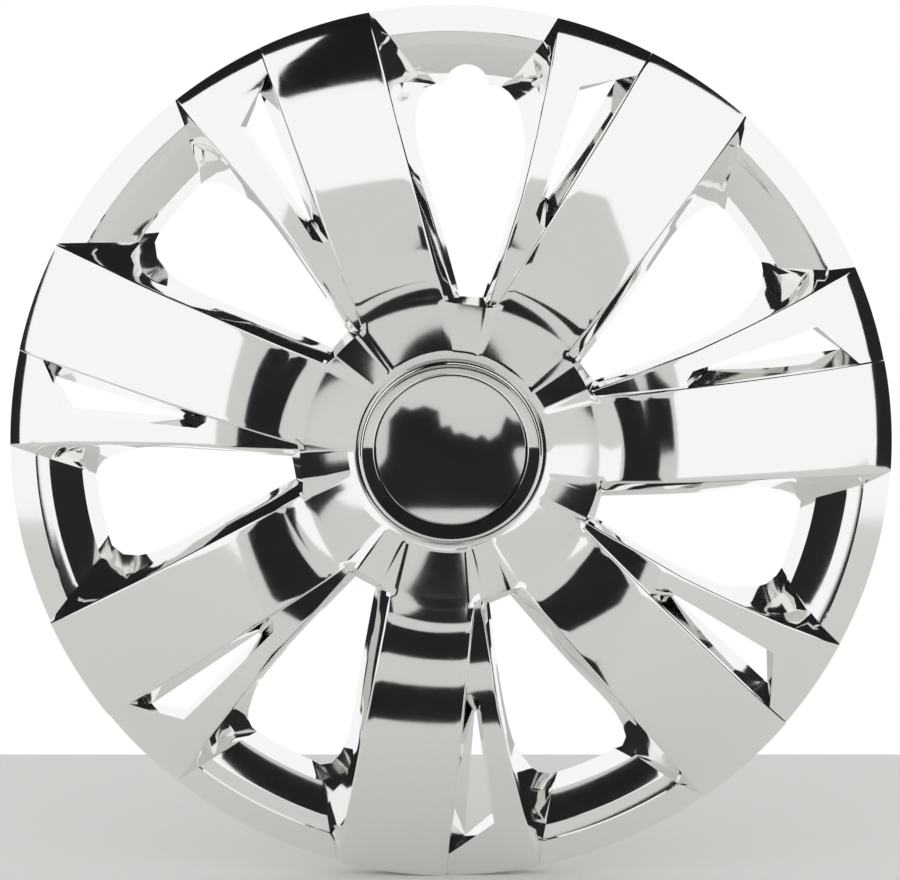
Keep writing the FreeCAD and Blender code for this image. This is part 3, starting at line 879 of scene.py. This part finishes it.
# Cards that only the plating mirrors: name, centre, half sizes along x, y and z, grey level
CARDS = (
    ("near_dark_high", (0.006, -0.27, 0.045), (0.016, 0.0, 0.022), 0.012),
    ("near_dark_low", (-0.01, -0.27, -0.178), (0.09, 0.0, 0.022), 0.012),
    ("near_grey", (0.0, -0.30, -0.04), (0.10, 0.0, 0.16), 0.64),
    ("near_grey_high", (0.0, -0.10, 0.040), (0.05, 0.0, 0.025), 0.64),
    ("high_dark_left", (-0.20, -1.0, 0.85), (0.16, 0.0, 0.37), 0.012),
    ("overhead_dark", (0.0, -0.62, 1.6), (3.5, 1.12, 0.0), 0.015),
    ("side_dark_right", (3.0, -0.6, 0.5), (0.0, 2.1, 2.0), 0.02),
    ("side_dark_left", (-3.0, -0.3, 0.5), (0.0, 1.8, 2.0), 0.02),
    ("behind_grey", (0.0, 2.2, -0.6), (1.6, 0.0, 0.45), 0.5),
)
CARD_HALF_THICKNESS = 0.001
CARD_TINT = (1.0, 0.985, 0.965)
# Uneven dark card straight in front: outline as x and z, its place along y and its grey level
DARK_OUTLINE = (
    (-0.082, -0.108), (0.076, -0.108), (0.074, -0.074), (0.066, -0.05), (0.068, -0.042), (0.094, -0.04),
    (0.094, -0.016), (0.066, -0.014), (0.058, -0.008), (0.051, -0.026), (0.04, -0.033), (0.033, -0.027),
    (0.026, -0.031), (0.012, -0.025), (0.004, -0.026), (-0.001, -0.017), (-0.01, -0.019), (-0.013, -0.002),
    (-0.027, 0.003), (-0.041, -0.001), (-0.052, 0.002), (-0.064, -0.012), (-0.067, -0.05), (-0.08, -0.074),
)
DARK_PLACE = -0.27
DARK_LEVEL = 0.012


class COVER_OT_stage(bpy.types.Operator):
    """Set up the camera, the studio light, the floor and the cards that the plating mirrors"""
    bl_idname = "cover.stage"
    bl_label = "Set Up Stage"

    def execute(self, context):
        scene = context.scene
        scene.view_settings.view_transform = "Standard"
        self.camera(scene)
        self.world(scene)
        self.floor()
        for name, centre, half, level in CARDS:
            plain_deselect()
            bpy.ops.mesh.primitive_cube_add(size=2.0, location=centre)
            context.object.scale = [max(h, CARD_HALF_THICKNESS) for h in half]
            self.mirrored_only(context.object, name, level)
        plain_deselect()
        bpy.ops.mesh.primitive_circle_add(vertices=len(DARK_OUTLINE), fill_type="NGON")
        for vert, (x, z) in zip(context.object.data.vertices, DARK_OUTLINE):
            vert.co = (x, DARK_PLACE, z)
        self.mirrored_only(context.object, "near_dark", DARK_LEVEL)
        return {"FINISHED"}

    @staticmethod
    def camera(scene):
        """Camera at the photograph's viewing angle, aimed at the wheel axis."""
        data = bpy.data.cameras.new("photo_view")
        data.sensor_fit = "HORIZONTAL"
        data.sensor_width = CAMERA_SENSOR
        data.lens = CAMERA_LENS
        data.shift_x, data.shift_y = (shift / PICTURE_WIDTH for shift in CAMERA_SHIFT)
        camera = bpy.data.objects.new("photo_view", data)
        scene.collection.objects.link(camera)
        spot = Vector(CAMERA_SPOT)
        camera.location = spot
        camera.rotation_euler = (-spot).to_track_quat("-Z", "Y").to_euler()
        scene.camera = camera

    @staticmethod
    def world(scene):
        """Even soft light; what looks straight into it, or mirrors it, sees white."""
        world = bpy.data.worlds.new("studio")
        world.use_nodes = True
        scene.world = world
        nodes = Nodes(world.node_tree)
        ray = nodes.add("ShaderNodeLightPath").outputs
        seen = nodes.value(ray["Is Camera Ray"]).math("MAXIMUM", nodes.value(ray["Is Glossy Ray"]))
        seen = seen.math("MAXIMUM", nodes.value(ray["Is Transmission Ray"]))
        light = nodes.add("ShaderNodeBackground", Color=STUDIO_GREY, Strength=STUDIO_STRENGTH)
        paper = nodes.add("ShaderNodeBackground", Color=WHITE, Strength=1.0)
        nodes.add("ShaderNodeOutputWorld", Surface=nodes.mix(seen, light.outputs[0], paper.outputs[0]))

    @staticmethod
    def floor():
        """Plain pale floor under the cover's lowest point."""
        plain_deselect()
        bpy.ops.mesh.primitive_plane_add(size=2.0, location=(*FLOOR_CENTRE, CAD_BOX[0][2]))
        floor = bpy.context.object
        floor.scale = (*FLOOR_HALF, 1.0)
        floor.name = "floor"
        paper = bpy.data.materials.new("floor_paper")
        paper.use_nodes = True
        nodes = Nodes(paper.node_tree)
        matt = nodes.add("ShaderNodeBsdfDiffuse", Color=FLOOR_COLOUR)
        nodes.add("ShaderNodeOutputMaterial", Surface=matt.outputs[0])
        floor.data.materials.append(paper)

    @staticmethod
    def mirrored_only(card, name, level):
        """Makes a card plain and even, and shows it only as a reflection in the plating."""
        card.name = name
        tone = bpy.data.materials.new(name)
        tone.use_nodes = True
        nodes = Nodes(tone.node_tree)
        glow = nodes.add("ShaderNodeEmission", Color=(*(level * tint for tint in CARD_TINT), 1.0), Strength=1.0)
        nodes.add("ShaderNodeOutputMaterial", Surface=glow.outputs[0])
        card.data.materials.append(tone)
        card.visible_camera = False
        card.visible_diffuse = False
        card.visible_shadow = False
        card.visible_transmission = False


class COVER_PT_panel(bpy.types.Panel):
    """Sidebar panel of the wheel cover"""
    bl_label = "Wheel Cover"
    bl_idname = "COVER_PT_panel"
    bl_space_type = "VIEW_3D"
    bl_region_type = "UI"
    bl_category = "Wheel Cover"

    def draw(self, context):
        layout = self.layout
        for group in (context.scene.cover_sizes, context.scene.cover_look):
            box = layout.box()
            for name in group.__annotations__:
                box.prop(group, name)
        for operator in OPERATORS:
            layout.operator(operator.bl_idname)


OPERATORS = (COVER_OT_shell, COVER_OT_legs, COVER_OT_stage)
CLASSES = (CoverSizes, ChromeLook) + OPERATORS + (COVER_PT_panel,)


def register():
    for item in CLASSES:
        bpy.utils.register_class(item)
    bpy.types.Scene.cover_sizes = bpy.props.PointerProperty(type=CoverSizes)
    bpy.types.Scene.cover_look = bpy.props.PointerProperty(type=ChromeLook)


def unregister():
    del bpy.types.Scene.cover_look
    del bpy.types.Scene.cover_sizes
    for item in reversed(CLASSES):
        bpy.utils.unregister_class(item)


def main():
    """Builds every piece and the stage."""
    register()
    bpy.ops.cover.shell()
    bpy.ops.cover.legs()
    bpy.ops.cover.stage()


if __name__ == "__main__":
    main()
